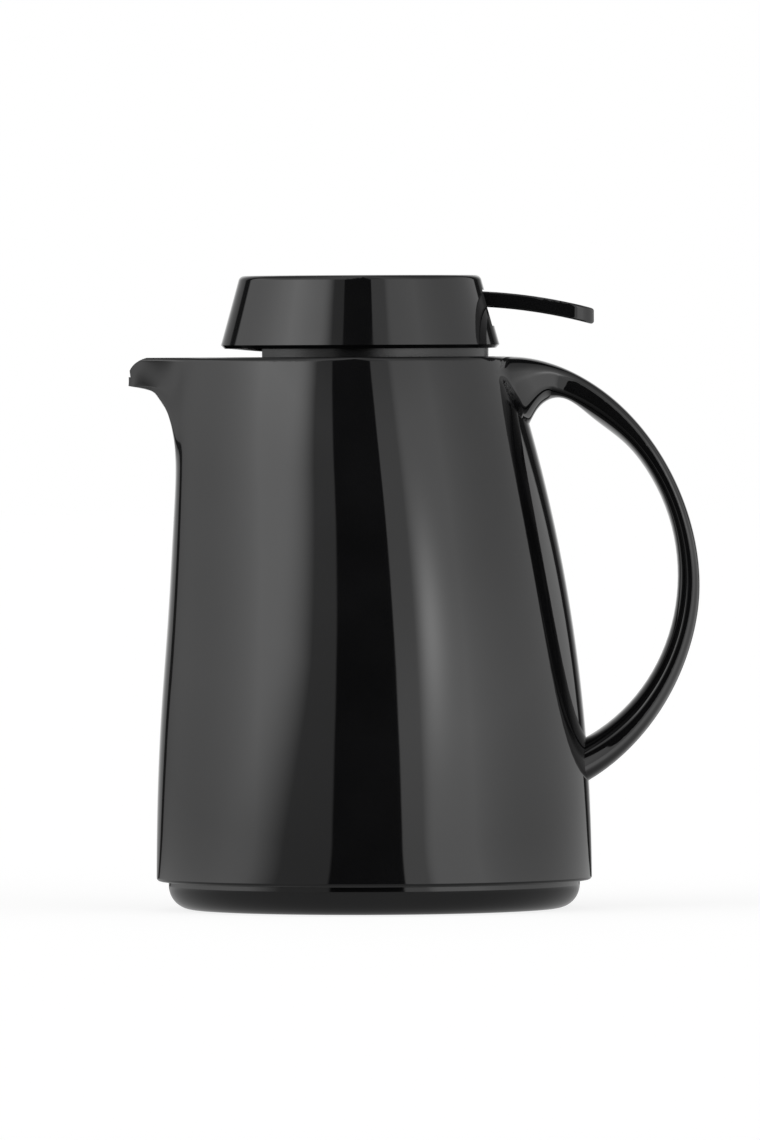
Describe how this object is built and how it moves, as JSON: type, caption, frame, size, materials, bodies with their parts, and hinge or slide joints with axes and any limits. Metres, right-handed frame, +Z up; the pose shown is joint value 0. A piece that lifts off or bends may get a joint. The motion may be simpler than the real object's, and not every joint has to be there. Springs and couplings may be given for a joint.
{
  "type": "thermal carafe",
  "caption": "Glass-lined thermal carafe with a beaked spout, a D-shaped handle, a screw-in lid and a thumb lever that lifts the pouring valve.",
  "frame": {"origin": "middle of the foot ring, on the surface that the carafe stands on", "axes": "+Z up, spout toward -X, handle toward +X, mirror plane Y = 0"},
  "size_m": [0.1939, 0.148, 0.2151],
  "materials": {
    "gloss_black": "high-gloss moulded plastic",
    "matt_black": "plain moulded plastic",
    "pad_grey": "pressed pads",
    "silvered_glass": "silvered glass",
    "soft_rubber": "soft rubber",
    "silicone": "translucent silicone",
    "steel": "drawn steel"
  },
  "bodies": {
    "jug": {"jug_shell": "gloss_black", "handle": "gloss_black", "base_cover": "gloss_black", "base_gasket": "soft_rubber", "flask_outer": "silvered_glass", "flask_inner": "silvered_glass", "vacuum_spacers": "pad_grey", "flask_cushion": "soft_rubber", "mouth_seal": "silicone"},
    "lid_carrier": {"lid_seal": "silicone"},
    "lid": {"lid_cover": "gloss_black", "lid_base": "matt_black", "lever_pin": "steel", "stem_seal": "silicone", "valve_spring": "steel"},
    "lever": {"thumb_lever": "gloss_black"},
    "valve": {"valve_stem": "matt_black", "valve_plug": "matt_black", "valve_seal": "silicone"}
  },
  "joints": [
    {"name": "lid_rise", "type": "slide", "parent": "jug", "child": "lid_carrier", "axis": [0, 0, 1], "range_m": [0, 0.03]},
    {"name": "lid_turn", "type": "hinge", "parent": "lid_carrier", "child": "lid", "pos_m": [-0.004, 0, 0.19], "axis": [0, 0, 1], "range_deg": [0, 450]},
    {"name": "lever_press", "type": "hinge", "parent": "lid", "child": "lever", "pos_m": [0.014, 0, 0.201], "axis": [0, 1, 0], "range_deg": [0, 12], "stiffness_Nm_per_rad": 0.25, "springref_deg": -11.46},
    {"name": "valve_lift", "type": "slide", "parent": "lid", "child": "valve", "axis": [0, 0, 1], "range_m": [0, 0.0038], "deforming": ["valve_spring"]}
  ],
  "couplings": [
    {"joint": "lid_rise", "follows": "lid_turn", "m_per_rad": 0.0038},
    {"joint": "valve_lift", "follows": "lever_press", "m_per_rad": 0.018}
  ]
}
